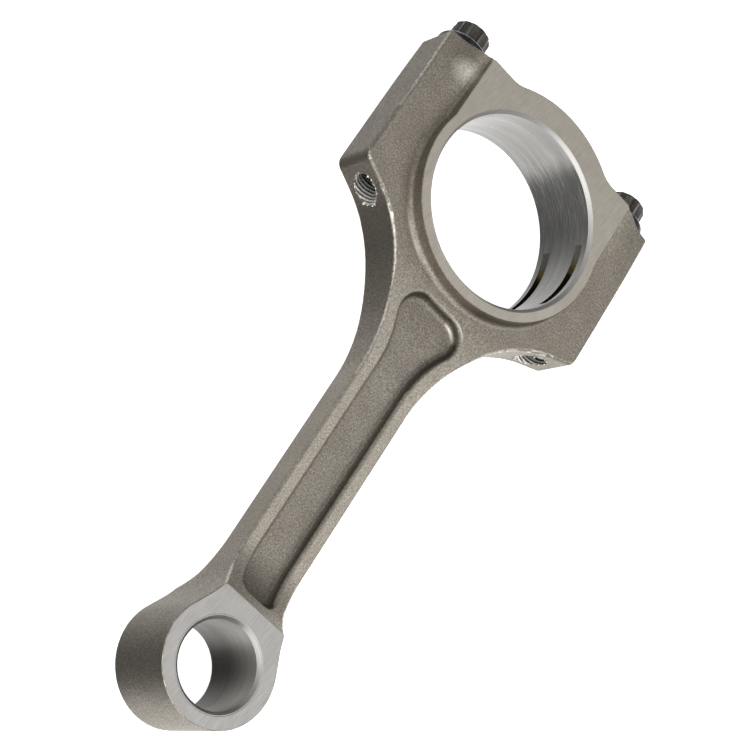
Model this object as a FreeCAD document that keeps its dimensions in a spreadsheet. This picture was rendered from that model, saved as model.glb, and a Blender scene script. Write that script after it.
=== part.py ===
import FreeCAD, Part
import math
import os
import Sketcher

# Connecting rod of a four-cylinder engine, lying flat.
# Origin: centre of the big-end bore at mid thickness. +Z along both bores, +X towards the cap,
# so the small end lies on -X and the two cap bolts run parallel to X on +Y (left) and -Y (right).

V = FreeCAD.Vector
X_AXIS = V(1, 0, 0)
Y_AXIS = V(0, 1, 0)
Z_AXIS = V(0, 0, 1)
XZ_PLANE = FreeCAD.Rotation(X_AXIS, 90)

DIMENSIONS = {
    "centre_distance": (144.0, "big-end bore centre to small-end bore centre"),
    "end_width": (22.0, "width over the machined faces of both ends"),
    "big_bore": (50.6, "big-end housing bore diameter"),
    "big_chamfer": (0.9, "chamfer at both mouths of the big-end bore"),
    "ring_radius": (28.9, "outer radius of the rod half's thrust face"),
    "crown_radius": (33.2, "outer radius of the cap's crown"),
    "crown_fillet": (9.0, "fillet from the crown down to the bolt seat"),
    "seat_plane": (28.0, "joint face to bolt seat"),
    "cap_face_half": (28.0, "half width of the cap's thrust face beside the bolts"),
    "cap_face_corner": (1.3, "corner radius of that face at the seat"),
    "cap_face_blend": (6.0, "radius where the ring meets that straight side"),
    "bolt_half_pitch": (32.3, "rod centre line to bolt axis"),
    "shoulder_half": (40.3, "rod centre line to the flat outer wall of a shoulder"),
    "shoulder_thick": (6.9, "mid plane to the forged face at the shoulders"),
    "shoulder_corner": (3.0, "corner radius under the shoulder wall"),
    "shoulder_slope": (67.0, "slope of the shoulder's underside, degrees from the rod axis"),
    "cap_corner": (1.5, "corner radius of the cap's outer corners"),
    "swell_start": (0.25, "share of the cap's height that stays level before the swelling"),
    "swell_inner": (10.3, "forged face height at the seat, beside the thrust face"),
    "swell_bolt": (9.0, "forged face height at the seat, over the bolt"),
    "swell_outer": (6.1, "forged face height at the seat, at the outer wall"),
    "beam_half": (9.15, "half width of the I-beam"),
    "beam_thick": (4.8, "mid plane to the beam's face where it is thinnest"),
    "flare_start": (62.0, "big-end centre to where the beam starts to widen"),
    "flare_long": (52.0, "radius of the long flare"),
    "flare_turn": (34.0, "slope where the two flares meet, degrees"),
    "flare_short": (36.5, "radius of the short flare below the shoulder"),
    "thin_end": (64.0, "big-end centre to the thick-side end of the thinnest stretch"),
    "thin_start": (112.4, "big-end centre to the foot of the small-end ramp"),
    "ramp_radius": (22.5, "radius of the ramp from the beam's face to the small end"),
    "rise_radius": (200.0, "radius that starts the beam's thickening"),
    "rise_slope": (0.10, "slope of the thickening"),
    "level_radius": (160.0, "radius that levels the face off at the shoulders"),
    "boss_radius": (15.3, "outer radius of the small-end boss"),
    "boss_shift": (0.5, "boss centre, from the small bore's centre towards the beam"),
    "neck_slope": (26.0, "slope of the neck's sides, degrees"),
    "neck_radius": (25.0, "radius that blends the neck into the beam"),
    "pocket_half": (5.3, "half width of the I-beam's pocket"),
    "pocket_depth": (3.0, "depth of the pocket below the beam's face"),
    "pocket_end": (125.0, "big-end centre to the pocket's small end"),
    "pocket_end_radius": (3.2, "corner radius of the pocket's small end"),
    "pocket_flare_start": (56.0, "big-end centre to where the pocket widens"),
    "pocket_flare_radius": (30.0, "radius of the pocket's flare"),
    "pocket_flare_slope": (25.0, "slope of the pocket's flare, degrees"),
    "pocket_fan_end": (33.0, "big-end centre to the pocket's big end"),
    "pocket_fan_corner": (6.0, "corner radius of the pocket's big end"),
    "edge_round": (0.9, "rounding of the forged edges"),
    "foot_fillet": (1.4, "fillet at the foot of the thrust ring"),
    "pocket_fillet": (1.9, "fillet round the pocket's floor"),
    "pocket_lip": (0.9, "rounding of the pocket's upper edge"),
    "edge_break": (0.25, "rounding of the machined faces' outlines"),
    "bush_outer": (23.0, "outside diameter of the small-end bush"),
    "pin_bore": (21.0, "bore of the bush, for the piston pin"),
    "bush_recess": (0.1, "bush end below the small-end face"),
    "bush_chamfer": (0.8, "chamfer at both mouths of the bush"),
    "small_chamfer": (0.15, "chamfer at both mouths of the small-end bore"),
    "tapped_hole": (8.1, "diameter of the tapped hole, at the thread's root"),
    "plain_hole": (8.4, "diameter of the cap's bolt hole"),
    "bolt_thread": (8.0, "outside diameter of the bolt's thread"),
    "bolt_reach": (14.5, "joint face to the bolt's tip"),
    "flange_radius": (7.2, "radius of the bolt's flange"),
    "flange_thick": (2.1, "thickness of the flange's rim"),
    "flange_cone": (0.3, "rise of the flange's cone from rim to head"),
    "head_flats": (9.9, "twelve-point head, across flats"),
    "head_points": (10.8, "twelve-point head, over its blunted points"),
    "head_height": (8.0, "bolt seat to the top of the head"),
    "head_bevel": (0.6, "bevel round the head's top"),
    "head_dish": (3.2, "radius of the dish in the head's top"),
    "dish_depth": (0.8, "depth of that dish"),
    "tip_bevel": (0.8, "bevel at the bolt's tip"),
    "tang_cutter": (15.0, "radius of the cutter that makes the bearing tang slots"),
    "tang_centre": (12.26, "rod centre line to the cutter's axis"),
    "tang_width": (2.9, "width of a tang slot"),
    "tang_offset": (6.7, "mid plane to the middle of a tang slot"),
}

# Raw stock left on the thrust faces, which machining then takes off.
STOCK = 1.0
# Height of the slabs that carry an outline, and of the side profile that trims them, above the end faces.
SLAB_STOCK = 3.0
PROFILE_STOCK = 4.0
# How far a cutting tool runs past the face it cuts.
OVERRUN = 2.0
# The swelling's height at the seat: beside the thrust face, over the bolt, at the outer wall.
SWELL = ("swell_inner", "swell_bolt", "swell_outer")
# Where its crest starts to fall, is midway and has fallen, measured outwards from the bolt axis.
SWELL_POLES = (-4.0, -1.0, 3.5)
# Sketch height of the joint face in a bolt's profile, so that every height is positive.
BOLT_DATUM = 20

doc = FreeCAD.newDocument("connecting_rod")
sheet = doc.addObject("Spreadsheet::Sheet", "Dimensions")
for row, (name, (value, meaning)) in enumerate(DIMENSIONS.items(), start=1):
    sheet.set(f"A{row}", meaning)
    sheet.set(f"B{row}", str(value))
    sheet.setAlias(f"B{row}", name)
doc.recompute()


def size(name):
    """A driving dimension, read back from the sheet."""
    return float(sheet.get(name))


def bound(formula):
    """A formula over the sheet's names, written for setExpression."""
    names = sorted(DIMENSIONS, key=len, reverse=True)
    out = ""
    at = 0
    while at < len(formula):
        found = next((n for n in names if formula.startswith(n, at)), None)
        out += f"Dimensions.{found}" if found else formula[at]
        at += len(found) if found else 1
    return out


class Outline:
    """A chain of lines and arcs in a sketch, each joined to the one before it."""

    def __init__(self, sketch):
        self.sketch = sketch
        self.ends = []

    def _add(self, curve, flipped, smooth):
        index = self.sketch.addGeometry(curve, False)
        start, end = (2, 1) if flipped else (1, 2)
        if self.ends:
            before, _, before_end = self.ends[-1]
            kind = "Tangent" if smooth else "Coincident"
            self.sketch.addConstraint(Sketcher.Constraint(kind, before, before_end, index, start))
        self.ends.append((index, start, end))
        return index

    def line(self, start, end, smooth=False):
        return self._add(Part.LineSegment(V(*start), V(*end)), False, smooth)

    def arc(self, centre, radius, start_deg, end_deg, smooth=False):
        circle = Part.Circle(V(*centre), Z_AXIS, radius)
        flipped = end_deg < start_deg
        low, high = sorted((math.radians(start_deg), math.radians(end_deg)))
        return self._add(Part.ArcOfCircle(circle, low, high), flipped, smooth)

    def spline(self, poles, smooth=False):
        curve = Part.BSplineCurve()
        curve.buildFromPoles([V(*pole) for pole in poles], False, 3)
        return self._add(curve, False, smooth)

    def start(self, index):
        return self.ends[index][:2]

    def end(self, index):
        return self.ends[index][0], self.ends[index][2]

    def fix(self, formula, kind, *where):
        """Add a dimension and bind it to the sheet."""
        value = sheet_value(formula)
        if kind == "Angle":
            value = math.radians(value)
        number = self.sketch.addConstraint(Sketcher.Constraint(kind, *where, value))
        self.sketch.setExpression(f"Constraints[{number}]", bound(formula))

    def radius(self, index, formula):
        self.fix(formula, "Radius", index)

    def slope(self, index, formula):
        self.fix(formula, "Angle", index)

    def left_of_origin(self, point, formula):
        self.fix(formula, "DistanceX", *point, -1, 1)

    def right_of_origin(self, point, formula):
        self.fix(formula, "DistanceX", -1, 1, *point)

    def above_origin(self, point, formula):
        self.fix(formula, "DistanceY", -1, 1, *point)

    def hold(self, kind, *where):
        self.sketch.addConstraint(Sketcher.Constraint(kind, *where))

    def close(self):
        first = self.start(0)
        self.hold("Coincident", *self.end(-1), *first)


def sheet_value(formula):
    """The number that a formula over the sheet's names comes to now."""
    value = sheet.evalExpression(bound(formula))
    return float(getattr(value, "Value", value))


def new_sketch(name, upright=False):
    """An empty sketch on the XY plane, or on the XZ plane with its own Y along +Z."""
    sketch = doc.addObject("Sketcher::SketchObject", name)
    if upright:
        sketch.Placement = FreeCAD.Placement(V(0, 0, 0), XZ_PLANE)
    return sketch


def extrude(name, sketch, formula, both_ways=False):
    solid = doc.addObject("Part::Extrusion", name)
    solid.Base = sketch
    solid.DirMode = "Normal"
    solid.Solid = True
    solid.Symmetric = both_ways
    solid.setExpression("LengthFwd", bound(formula))
    return solid


def join(name, *shapes):
    fused = doc.addObject("Part::MultiFuse", name)
    fused.Shapes = list(shapes)
    fused.Refine = True
    return fused


def pair_op(kind, name, base, tool):
    out = doc.addObject(f"Part::{kind}", name)
    out.Base = base
    out.Tool = tool
    out.Refine = True
    return out


def mirrored(name, source, normal):
    """The source joined with its mirror image in the plane through the origin."""
    image = doc.addObject("Part::Mirroring", f"{name}_image")
    image.Source = source
    image.Normal = normal
    return join(name, source, image)


def rounded(name, base, radius, wanted):
    """Fillet every edge of the base that the test picks."""
    doc.recompute()
    out = doc.addObject("Part::Fillet", name)
    out.Base = base
    picked = [n for n, edge in enumerate(base.Shape.Edges, start=1) if wanted(edge)]
    if not picked:
        raise RuntimeError(f"{name}: no edge to round")
    out.Edges = [(n, radius, radius) for n in picked]
    doc.recompute()
    return out


def cylinder(name, radius, height, place):
    solid = doc.addObject("Part::Cylinder", name)
    solid.setExpression("Radius", bound(radius))
    solid.setExpression("Height", bound(height))
    solid.Placement = place
    return solid


def middle(edge):
    """The point halfway along an edge."""
    return edge.valueAt((edge.FirstParameter + edge.LastParameter) / 2)


def rod_plan():
    """Half of the rod's outline seen along the bores, from the boss's tip round to the joint face."""
    cx = size("boss_shift") - size("centre_distance")
    boss = size("boss_radius")
    slope = size("neck_slope")
    neck = size("neck_radius")
    half = size("beam_half")
    wall = size("shoulder_half")
    under = size("shoulder_slope")
    turn = size("flare_turn")
    long_r = size("flare_long")
    short_r = size("flare_short")
    corner = size("shoulder_corner")

    tangent = 90 - slope
    p_boss = (cx + boss * math.cos(math.radians(tangent)), boss * math.sin(math.radians(tangent)))
    neck_top = half + neck * (1 - math.cos(math.radians(slope)))
    neck_x = p_boss[0] + (p_boss[1] - neck_top) / math.tan(math.radians(slope))
    neck_centre = (neck_x + neck * math.sin(math.radians(slope)), half + neck)
    flare = -size("flare_start")
    long_centre = (flare, half + long_r)
    turn_point = (
        long_centre[0] + long_r * math.sin(math.radians(turn)),
        long_centre[1] - long_r * math.cos(math.radians(turn)),
    )
    short_centre = (
        turn_point[0] - short_r * math.sin(math.radians(turn)),
        turn_point[1] + short_r * math.cos(math.radians(turn)),
    )
    under_point = (
        short_centre[0] + short_r * math.sin(math.radians(under)),
        short_centre[1] - short_r * math.cos(math.radians(under)),
    )
    corner_low = wall - corner * (1 - math.cos(math.radians(under)))
    corner_x = under_point[0] + (corner_low - under_point[1]) / math.tan(math.radians(under))
    corner_centre = (corner_x + corner * math.sin(math.radians(under)), wall - corner)

    sketch = new_sketch("rod_plan")
    path = Outline(sketch)
    boss_arc = path.arc((cx, 0), boss, 180, tangent)
    neck_line = path.line(p_boss, (neck_x, neck_top), smooth=True)
    neck_arc = path.arc(neck_centre, neck, 270 - slope, 270, smooth=True)
    beam = path.line((neck_centre[0], half), (flare, half), smooth=True)
    long_arc = path.arc(long_centre, long_r, 270, 270 + turn, smooth=True)
    short_arc = path.arc(short_centre, short_r, 270 + turn, 270 + under, smooth=True)
    under_line = path.line(under_point, (corner_x, corner_low), smooth=True)
    corner_arc = path.arc(corner_centre, corner, 90 + under, 90, smooth=True)
    side = path.line((corner_centre[0], wall), (0, wall), smooth=True)
    joint = path.line((0, wall), (0, 0))
    path.line((0, 0), (cx - boss, 0))
    path.close()

    path.hold("PointOnObject", boss_arc, 3, -1)
    path.hold("PointOnObject", *path.start(0), -1)
    path.left_of_origin((boss_arc, 3), "centre_distance - boss_shift")
    path.radius(boss_arc, "boss_radius")
    path.slope(neck_line, "-neck_slope")
    path.radius(neck_arc, "neck_radius")
    path.hold("Horizontal", beam)
    path.above_origin((beam, 1), "beam_half")
    path.left_of_origin((beam, 2), "flare_start")
    path.radius(long_arc, "flare_long")
    path.left_of_origin(path.end(4), "flare_start - flare_long * sin(flare_turn * 1deg)")
    path.radius(short_arc, "flare_short")
    path.slope(under_line, "shoulder_slope")
    path.radius(corner_arc, "shoulder_corner")
    path.hold("Horizontal", side)
    path.above_origin((side, 1), "shoulder_half")
    path.hold("PointOnObject", side, 2, -2)
    path.hold("Coincident", joint, 2, -1, 1)
    return sketch


def rod_side(name, drop_formula="0"):
    """The rod's upper half seen from the side; a drop lowers the whole face, as for the pocket's floor."""
    drop = sheet_value(drop_formula)
    thin = size("beam_thick") - drop
    ramp = size("ramp_radius")
    rise = size("rise_radius")
    level = size("level_radius")
    slope = math.atan(size("rise_slope"))
    top = size("end_width") / 2 + PROFILE_STOCK
    foot_x = -size("thin_start")
    ramp_angle = math.acos((thin + ramp - top) / ramp)
    rise_x = -size("thin_end")
    rise_end = (rise_x + rise * math.sin(slope), thin + rise * (1 - math.cos(slope)))
    shoulder = size("shoulder_thick") - drop
    level_low = shoulder - level * (1 - math.cos(slope))
    level_x = rise_end[0] + (level_low - rise_end[1]) / math.tan(slope)
    level_centre = (level_x + level * math.sin(slope), shoulder - level)
    far = -size("centre_distance") - size("boss_radius") - OVERRUN
    tilt = math.degrees(slope)

    sketch = new_sketch(name, upright=True)
    path = Outline(sketch)
    path.line((far, 0), (far, top))
    crest = path.line((far, top), (foot_x - ramp * math.sin(ramp_angle), top))
    ramp_arc = path.arc((foot_x, thin + ramp), ramp, 270 - math.degrees(ramp_angle), 270)
    thin_line = path.line((foot_x, thin), (rise_x, thin), smooth=True)
    rise_arc = path.arc((rise_x, thin + rise), rise, 270, 270 + tilt, smooth=True)
    climb = path.line(rise_end, (level_x, level_low), smooth=True)
    level_arc = path.arc(level_centre, level, 90 + tilt, 90, smooth=True)
    flat = path.line((level_centre[0], shoulder), (OVERRUN, shoulder), smooth=True)
    path.line((OVERRUN, shoulder), (OVERRUN, 0))
    base = path.line((OVERRUN, 0), (far, 0))
    path.close()

    path.hold("Vertical", 0)
    path.hold("Horizontal", crest)
    path.hold("PointOnObject", *path.start(0), -1)
    path.hold("PointOnObject", base, 1, -1)
    path.left_of_origin(path.start(0), f"centre_distance + boss_radius + {OVERRUN}")
    path.above_origin((crest, 1), f"end_width / 2 + {PROFILE_STOCK}")
    path.radius(ramp_arc, "ramp_radius")
    path.hold("Horizontal", thin_line)
    path.above_origin((thin_line, 1), f"beam_thick - ({drop_formula})")
    path.left_of_origin((thin_line, 1), "thin_start")
    path.left_of_origin((thin_line, 2), "thin_end")
    path.radius(rise_arc, "rise_radius")
    path.slope(climb, "atan(rise_slope) / 1deg")
    path.radius(level_arc, "level_radius")
    path.hold("Horizontal", flat)
    path.above_origin((flat, 2), f"shoulder_thick - ({drop_formula})")
    path.right_of_origin((flat, 2), f"{OVERRUN}")
    path.hold("Vertical", 8)
    return sketch


def quarter_disc():
    """The rod half's thrust ring on the +Y side, as a filled quarter disc."""
    radius = size("ring_radius")
    sketch = new_sketch("ring_plan")
    path = Outline(sketch)
    rim = path.arc((0, 0), radius, 180, 90)
    path.line((0, radius), (0, 0))
    base = path.line((0, 0), (-radius, 0))
    path.close()
    path.hold("Coincident", rim, 3, -1, 1)
    path.radius(rim, "ring_radius")
    path.hold("PointOnObject", *path.end(0), -2)
    path.hold("PointOnObject", base, 2, -1)
    return sketch


def pocket_plan():
    """Half of the I-beam pocket's outline: a straight channel that fans out below the big end."""
    half = size("pocket_half")
    tip = -size("pocket_end")
    tip_r = size("pocket_end_radius")
    flare_x = -size("pocket_flare_start")
    flare_r = size("pocket_flare_radius")
    slope = math.radians(size("pocket_flare_slope"))
    top = -size("pocket_fan_end")
    fan_r = size("pocket_fan_corner")

    flare_end = (flare_x + flare_r * math.sin(slope), half + flare_r * (1 - math.cos(slope)))
    # The fan's corner circle touches both the sloping side and the straight end.
    corner_x = top - fan_r
    side_x = corner_x - fan_r * math.sin(slope)
    side_y = flare_end[1] + (side_x - flare_end[0]) * math.tan(slope)
    corner_y = side_y - fan_r * math.cos(slope)
    tilt = math.degrees(slope)

    sketch = new_sketch("pocket_plan")
    path = Outline(sketch)
    path.line((tip, 0), (tip, half - tip_r))
    tip_arc = path.arc((tip + tip_r, half - tip_r), tip_r, 180, 90, smooth=True)
    channel = path.line((tip + tip_r, half), (flare_x, half), smooth=True)
    flare_arc = path.arc((flare_x, half + flare_r), flare_r, 270, 270 + tilt, smooth=True)
    side = path.line(flare_end, (side_x, side_y), smooth=True)
    corner = path.arc((corner_x, corner_y), fan_r, 90 + tilt, 0, smooth=True)
    end = path.line((top, corner_y), (top, 0), smooth=True)
    path.line((top, 0), (tip, 0))
    path.close()
    path.hold("Vertical", 0)
    path.hold("PointOnObject", *path.start(0), -1)
    path.left_of_origin(path.start(0), "pocket_end")
    path.radius(tip_arc, "pocket_end_radius")
    path.hold("Horizontal", channel)
    path.above_origin((channel, 1), "pocket_half")
    path.left_of_origin((channel, 2), "pocket_flare_start")
    path.radius(flare_arc, "pocket_flare_radius")
    path.slope(side, "pocket_flare_slope")
    path.radius(corner, "pocket_fan_corner")
    path.hold("Vertical", end)
    path.hold("PointOnObject", end, 2, -1)
    path.left_of_origin((end, 2), "pocket_fan_end")
    return sketch


def bore_tool(name, radius, chamfer, reach):
    """A cutter for a bore along Z with a 45 degree chamfer at both mouths, reach from mid plane."""
    r = sheet_value(radius)
    c = sheet_value(chamfer)
    h = sheet_value(reach)
    sketch = new_sketch(f"{name}_profile", upright=True)
    path = Outline(sketch)
    path.line((0, 0), (r, 0))
    path.line((r, 0), (r, h - c))
    path.line((r, h - c), (r + c + OVERRUN, h + OVERRUN))
    path.line((r + c + OVERRUN, h + OVERRUN), (0, h + OVERRUN))
    path.line((0, h + OVERRUN), (0, 0))
    path.close()
    path.hold("Coincident", 0, 1, -1, 1)
    path.hold("Horizontal", 0)
    path.hold("Vertical", 1)
    path.hold("Horizontal", 3)
    path.hold("Vertical", 4)
    path.right_of_origin((0, 2), radius)
    path.above_origin((1, 2), f"{reach} - {chamfer}")
    path.above_origin((2, 2), f"{reach} + {OVERRUN}")
    path.right_of_origin((2, 2), f"{radius} + {chamfer} + {OVERRUN}")
    half = doc.addObject("Part::Revolution", f"{name}_half")
    half.Source = sketch
    half.Axis = Z_AXIS
    half.Base = V(0, 0, 0)
    half.Angle = 360
    half.Solid = True
    return mirrored(name, half, Z_AXIS)


def along_x(x, y):
    """A placement whose own Z runs towards the small end, along the bolt's axis."""
    return FreeCAD.Placement(V(x, y, 0), FreeCAD.Rotation(Y_AXIS, -90))


def bolt_holes(name, diameter, start, length):
    """Two cutters on the bolt axes, from the start towards the small end."""
    left = cylinder(f"{name}_left", f"{diameter} / 2", length, along_x(start, size("bolt_half_pitch")))
    image = doc.addObject("Part::Mirroring", f"{name}_right")
    image.Source = left
    image.Normal = Y_AXIS
    return [left, image]


def tang_slots(name):
    """The two arc-shaped notches that locate the bearing shells, on the -Y side of the bore."""
    cutters = []
    for number, side in enumerate((-1, 1)):
        low = side * size("tang_offset") - size("tang_width") / 2
        place = FreeCAD.Placement(V(0, -size("tang_centre"), low), FreeCAD.Rotation())
        cutters.append(cylinder(f"{name}_{number}", "tang_cutter", "tang_width", place))
    return cutters


def cut_all(name, base, tools):
    return pair_op("Cut", name, base, join(f"{name}_tools", *tools))


def machined_outline(edge):
    """Whether an edge bounds the machined face, other than at a joint, a mirror plane or the ramp."""
    box = edge.BoundBox
    level = box.ZMin > size("end_width") / 2 - 1e-6
    crossing = box.XLength < 1e-6 and box.XMin < 1e-6
    return level and not crossing and box.YMax > 1e-6


def machining_slab(name):
    """The space between the two machined planes, upper half."""
    slab = doc.addObject("Part::Box", name)
    reach = size("centre_distance") * 4
    slab.Length = reach
    slab.Width = reach
    slab.setExpression("Height", bound("end_width / 2"))
    slab.Placement = FreeCAD.Placement(V(-reach / 2, -reach / 2, 0), FreeCAD.Rotation())
    return slab


def finish(shape, label):
    shape.Label = label
    return shape


def rod_body():
    """The forged rod with its half of the big-end bore; one quarter is built and mirrored twice."""
    stock_top = f"end_width / 2 + {SLAB_STOCK}"
    plan = extrude("rod_slab", rod_plan(), stock_top)
    side = extrude("rod_side_slab", rod_side("rod_side"), "shoulder_half * 3", both_ways=True)
    forging = pair_op("Common", "rod_forging", plan, side)

    face_top = size("end_width") / 2
    lowest = size("beam_thick") - 0.1

    def forged_edge(edge):
        at = middle(edge)
        spread = edge.BoundBox
        upright = spread.ZLength > 0 and spread.XLength + spread.YLength < 1e-6
        on_joint = spread.XMax < 1e-6 and spread.XMin > -1e-6
        crossways = spread.YMin < 1e-6
        return at.z > lowest and at.z < face_top + 2 and at.y > 1 and not (upright or on_joint or crossways)

    softened = rounded("rod_softened", forging, size("edge_round"), forged_edge)
    ring = extrude("rod_ring", quarter_disc(), f"end_width / 2 + {STOCK}")
    ringed = join("rod_ringed", softened, ring)

    def ring_foot(edge):
        at = middle(edge)
        on_ring = abs(math.hypot(at.x, at.y) - size("ring_radius")) < 1e-3
        return on_ring and size("beam_thick") < at.z < face_top and edge.BoundBox.ZLength < 3

    footed = rounded("rod_footed", ringed, size("foot_fillet"), ring_foot)
    floor = extrude("pocket_floor", rod_side("pocket_side", "pocket_depth"), "shoulder_half * 3", True)
    channel = extrude("pocket_channel", pocket_plan(), stock_top)
    hollow = pair_op("Cut", "pocket_hollow", channel, floor)

    def floor_edge(edge):
        box = edge.BoundBox
        upright = box.XLength + box.YLength < 1e-6
        return not upright and box.YMax > 1e-3 and box.ZMax < face_top and not crosswise_floor(edge)

    def crosswise_floor(edge):
        box = edge.BoundBox
        inside = -size("pocket_end") + 1e-3 < box.XMin and box.XMax < -size("pocket_fan_end") - 1e-3
        return inside and box.XLength < 1e-6

    pocket = rounded("pocket_tool", hollow, size("pocket_fillet"), floor_edge)
    pocketed = pair_op("Cut", "rod_pocketed", footed, pocket)

    def within_pocket(edge):
        """Whether an edge stays within the pocket's width, unlike the beam's own outline."""
        at = middle(edge)
        flare = max(0, at.x + size("pocket_flare_start"))
        widest = size("pocket_half") + flare * math.tan(math.radians(size("pocket_flare_slope")))
        return abs(at.y) < widest + 1e-3

    def pocket_rim(edge):
        """Whether an edge lies where the pocket's wall meets the beam's face."""
        box = edge.BoundBox
        beside = -size("pocket_end") - 1e-3 < box.XMin and box.XMax < -size("pocket_fan_end") + 1e-3
        on_face = box.ZMin > size("beam_thick") - 1e-3
        upright = box.XLength + box.YLength < 1e-6
        return beside and on_face and not upright and box.YMax > 1e-3 and within_pocket(edge)

    lipped = rounded("rod_lipped", pocketed, size("pocket_lip"), pocket_rim)
    machined = pair_op("Common", "rod_machined", lipped, machining_slab("rod_machining"))
    broken = rounded("rod_broken", machined, size("edge_break"), machined_outline)
    half = mirrored("rod_upper", broken, Y_AXIS)
    whole = mirrored("rod_whole", half, Z_AXIS)
    big = bore_tool("rod_big_bore", "big_bore / 2", "big_chamfer", "end_width / 2")
    small = bore_tool("rod_small_bore", "bush_outer / 2", "small_chamfer", "end_width / 2")
    small.Placement = FreeCAD.Placement(V(-size("centre_distance"), 0, 0), FreeCAD.Rotation())
    holes = bolt_holes("tapped", "tapped_hole", OVERRUN, "shoulder_half")
    return finish(cut_all("rod", whole, [big, small, *holes, *tang_slots("rod_tang")]), "rod_body")


def cap_section(name, x, inner, bolt, outer):
    """Half of a cap shoulder cut across at x; its upper edge runs from beside the bore to the wall."""
    wall = size("shoulder_half")
    soft = size("edge_round")
    root = size("crown_radius") / 2
    at_bolt = size("bolt_half_pitch")
    high, mid, low = (sheet_value(formula) for formula in (inner, bolt, outer))
    falls = [(at_bolt + shift, height) for shift, height in zip(SWELL_POLES, (high, mid, low))]
    poles = [(root, high), *falls, (wall - soft, low)]

    sketch = doc.addObject("Sketcher::SketchObject", name)
    across = FreeCAD.Rotation(Y_AXIS, Z_AXIS, X_AXIS, "ZXY")
    sketch.Placement = FreeCAD.Placement(V(x, 0, 0), across)
    path = Outline(sketch)
    path.line((root, 0), (root, high))
    crest = path.spline(poles)
    corner = path.arc((wall - soft, low - soft), soft, 90, 0)
    side = path.line((wall, low - soft), (wall, 0))
    path.line((wall, 0), (root, 0))
    path.close()
    path.hold("Vertical", 0)
    path.hold("Vertical", side)
    path.hold("PointOnObject", *path.start(0), -1)
    path.hold("PointOnObject", side, 2, -1)
    path.right_of_origin((0, 1), "crown_radius / 2")
    path.above_origin((0, 2), inner)
    path.above_origin((crest, 2), outer)
    path.radius(corner, "edge_round")
    path.right_of_origin((side, 1), "shoulder_half")
    return sketch


def cap_shoulder():
    """A cap shoulder: level near the joint, swelling round the bolt towards the seat."""
    flat = cap_section("shoulder_level", 0, "shoulder_thick", "shoulder_thick", "shoulder_thick")
    level = doc.addObject("Part::Extrusion", "shoulder_block")
    level.Base = flat
    level.DirMode = "Normal"
    level.Solid = True
    level.setExpression("LengthFwd", bound("seat_plane * swell_start"))

    sections = []
    steps = 2
    for step in range(steps + 1):
        part = step / steps
        x = sheet_value(f"seat_plane * (swell_start + (1 - swell_start) * {part})")
        grown = [f"shoulder_thick + ({top} - shoulder_thick) * {part ** 2}" for top in SWELL]
        sections.append(cap_section(f"shoulder_section_{step}", x, *grown))
    swelling = doc.addObject("Part::Loft", "shoulder_swelling")
    swelling.Sections = sections
    swelling.Solid = True
    swelling.Ruled = False
    return join("shoulder_raw", level, swelling)


def cap_plan():
    """Half of the cap's shoulders seen along the bore, with the outer corner rounded."""
    seat = size("seat_plane")
    wall = size("shoulder_half")
    corner = size("cap_corner")
    sketch = new_sketch("cap_plan")
    path = Outline(sketch)
    path.line((0, 0), (0, wall))
    side = path.line((0, wall), (seat - corner, wall))
    bend = path.arc((seat - corner, wall - corner), corner, 90, 0, smooth=True)
    front = path.line((seat, wall - corner), (seat, 0), smooth=True)
    path.line((seat, 0), (0, 0))
    path.close()
    path.hold("Coincident", 0, 1, -1, 1)
    path.hold("Vertical", 0)
    path.hold("Horizontal", side)
    path.hold("Vertical", front)
    path.hold("PointOnObject", front, 2, -1)
    path.above_origin((0, 2), "shoulder_half")
    path.radius(bend, "cap_corner")
    path.right_of_origin((front, 1), "seat_plane")
    return sketch


def cap_face():
    """Half of the cap's full-thickness outline: thrust face beside the bolts, then the crown."""
    ring = size("ring_radius")
    half = size("cap_face_half")
    kink = size("cap_face_blend")
    seat = size("seat_plane")
    crown = size("crown_radius")
    fillet = size("crown_fillet")
    kink_x = math.sqrt((ring + kink) ** 2 - (half + kink) ** 2)
    kink_deg = math.degrees(math.atan2(half + kink, kink_x))
    fillet_x = seat + fillet
    fillet_y = math.sqrt((crown + fillet) ** 2 - fillet_x ** 2)
    fillet_deg = math.degrees(math.atan2(fillet_y, fillet_x))

    sketch = new_sketch("cap_face")
    path = Outline(sketch)
    path.line((0, 0), (0, ring))
    rim = path.arc((0, 0), ring, 90, kink_deg)
    blend = path.arc((kink_x, half + kink), kink, 180 + kink_deg, 270, smooth=True)
    side = path.line((kink_x, half), (seat, half), smooth=True)
    front = path.line((seat, half), (seat, fillet_y))
    cove = path.arc((fillet_x, fillet_y), fillet, 180, 180 + fillet_deg, smooth=True)
    top = path.arc((0, 0), crown, fillet_deg, 0, smooth=True)
    path.line((crown, 0), (0, 0))
    path.close()
    path.hold("Coincident", 0, 1, -1, 1)
    path.hold("Coincident", rim, 3, -1, 1)
    path.hold("Coincident", top, 3, -1, 1)
    path.hold("Vertical", 0)
    path.radius(rim, "ring_radius")
    path.radius(blend, "cap_face_blend")
    path.hold("Horizontal", side)
    path.above_origin((side, 2), "cap_face_half")
    path.hold("Vertical", front)
    path.right_of_origin((front, 1), "seat_plane")
    path.radius(cove, "crown_fillet")
    path.radius(top, "crown_radius")
    path.hold("PointOnObject", top, 1, -1)
    return sketch


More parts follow.
